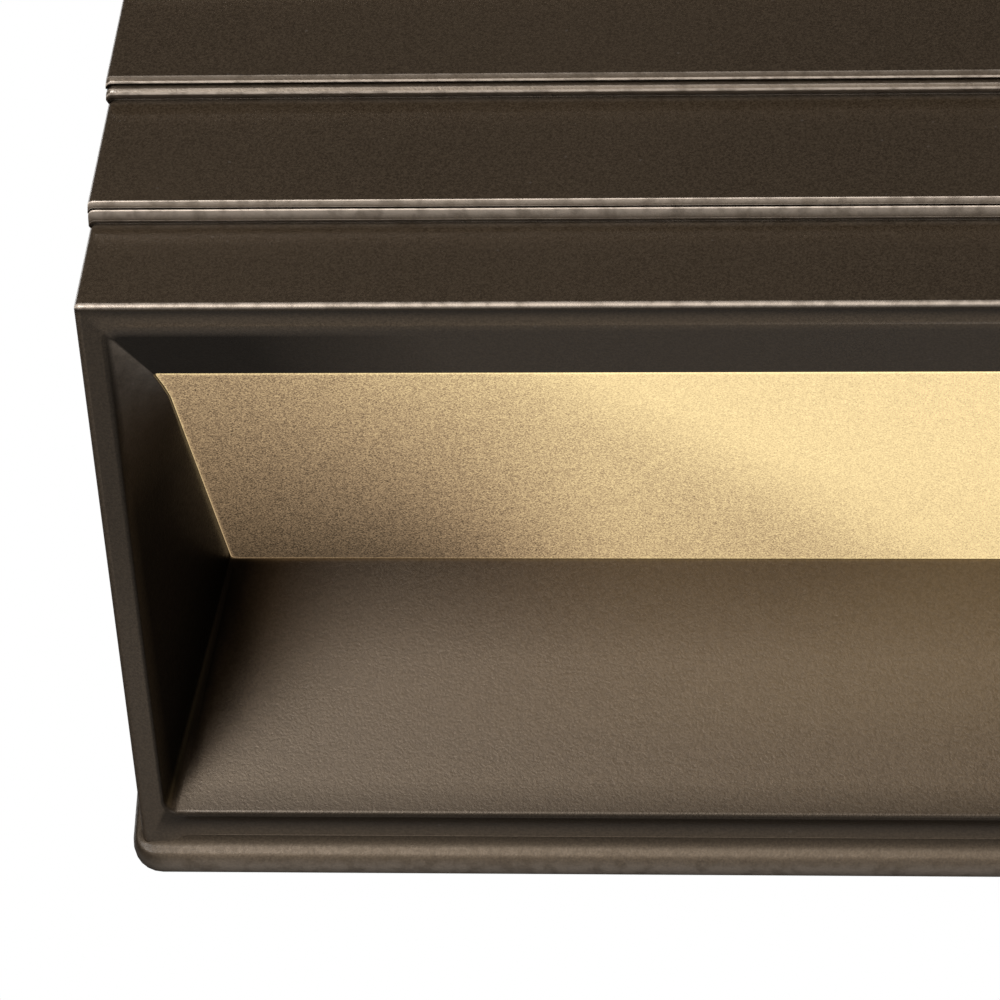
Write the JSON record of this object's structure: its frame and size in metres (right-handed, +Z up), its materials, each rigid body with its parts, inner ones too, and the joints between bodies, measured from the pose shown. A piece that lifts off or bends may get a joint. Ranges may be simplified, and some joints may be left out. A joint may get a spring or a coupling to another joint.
{
  "type": "deck light",
  "caption": "Wall-mounted deck light: louvered cast hood over a wall plate, with a slanted open mouth that throws light down through an etched glass lens.",
  "frame": {"origin": "middle of the wall plate's gasket, on the wall", "axes": "+X to the right seen from the front, +Y into the wall, +Z up"},
  "size_m": [0.142, 0.0464, 0.073],
  "materials": {
    "bronze_powder_coat": "satin dark bronze powder coat with fine grain",
    "etched_glass": "etched, warm where the lamp shines through",
    "clear_glass": "clear",
    "foam_rubber": "closed-cell foam",
    "black_rubber": "smooth moulded",
    "zinc_steel": "zinc plated",
    "spring_steel": "bright spring strip",
    "screw_steel": "machined and plated",
    "rivet_aluminium": "plain",
    "bright_aluminium": "bright rolled",
    "ivory_plastic": "moulded",
    "holder_plastic": "heat-resistant moulding",
    "white_insulation": "extruded",
    "black_insulation": "extruded",
    "brass": "plain",
    "lamp_wire": "drawn wire",
    "filament": "tungsten coil",
    "black_oxide": "black oxide"
  },
  "bodies": {
    "wall_side": {"wall_gasket": "foam_rubber", "mounting_plate": "zinc_steel", "cable_grommet": "black_rubber", "terminal_block": "ivory_plastic", "terminal_inserts": "brass", "terminal_screws": "screw_steel", "block_screw": "screw_steel", "socket_bracket": "zinc_steel", "bracket_rivets": "rivet_aluminium", "lampholder": "holder_plastic", "lamp_contacts": "brass", "lead_left": "white_insulation", "lead_right": "black_insulation", "reflector": "bright_aluminium", "reflector_screws": "screw_steel"},
    "lamp": {"lamp_glass": "clear_glass", "lamp_posts": "lamp_wire", "lamp_filament": "filament"},
    "hood": {"louvered_housing": "bronze_powder_coat", "lens": "etched_glass", "lens_seal": "black_rubber", "clip_screws": "screw_steel"},
    "clip_left": {"lens_clip_left": "spring_steel"},
    "clip_right": {"lens_clip_right": "spring_steel"},
    "screw_left": {"set_screw_left": "black_oxide"},
    "screw_right": {"set_screw_right": "black_oxide"}
  },
  "joints": [
    {"name": "hood_slide", "type": "slide", "parent": "wall_side", "child": "hood", "axis": [0, -1, 0], "range_m": [0, 0.06]},
    {"name": "lamp_pull", "type": "slide", "parent": "wall_side", "child": "lamp", "axis": [1, 0, 0], "range_m": [0, 0.012]},
    {"name": "clip_left_turn", "type": "hinge", "parent": "hood", "child": "clip_left", "pos_m": [-0.065, -0.0315, -0.0001], "axis": [-1, 0, 0], "range_deg": [0, 90]},
    {"name": "clip_right_turn", "type": "hinge", "parent": "hood", "child": "clip_right", "pos_m": [0.065, -0.0315, -0.0001], "axis": [-1, 0, 0], "range_deg": [0, 90]},
    {"name": "screw_left_turn", "type": "hinge", "parent": "hood", "child": "screw_left", "pos_m": [-0.067, -0.009, 0.014], "axis": [-1, 0, 0], "continuous": true},
    {"name": "screw_right_turn", "type": "hinge", "parent": "hood", "child": "screw_right", "pos_m": [0.067, -0.009, 0.014], "axis": [1, 0, 0], "continuous": true}
  ]
}
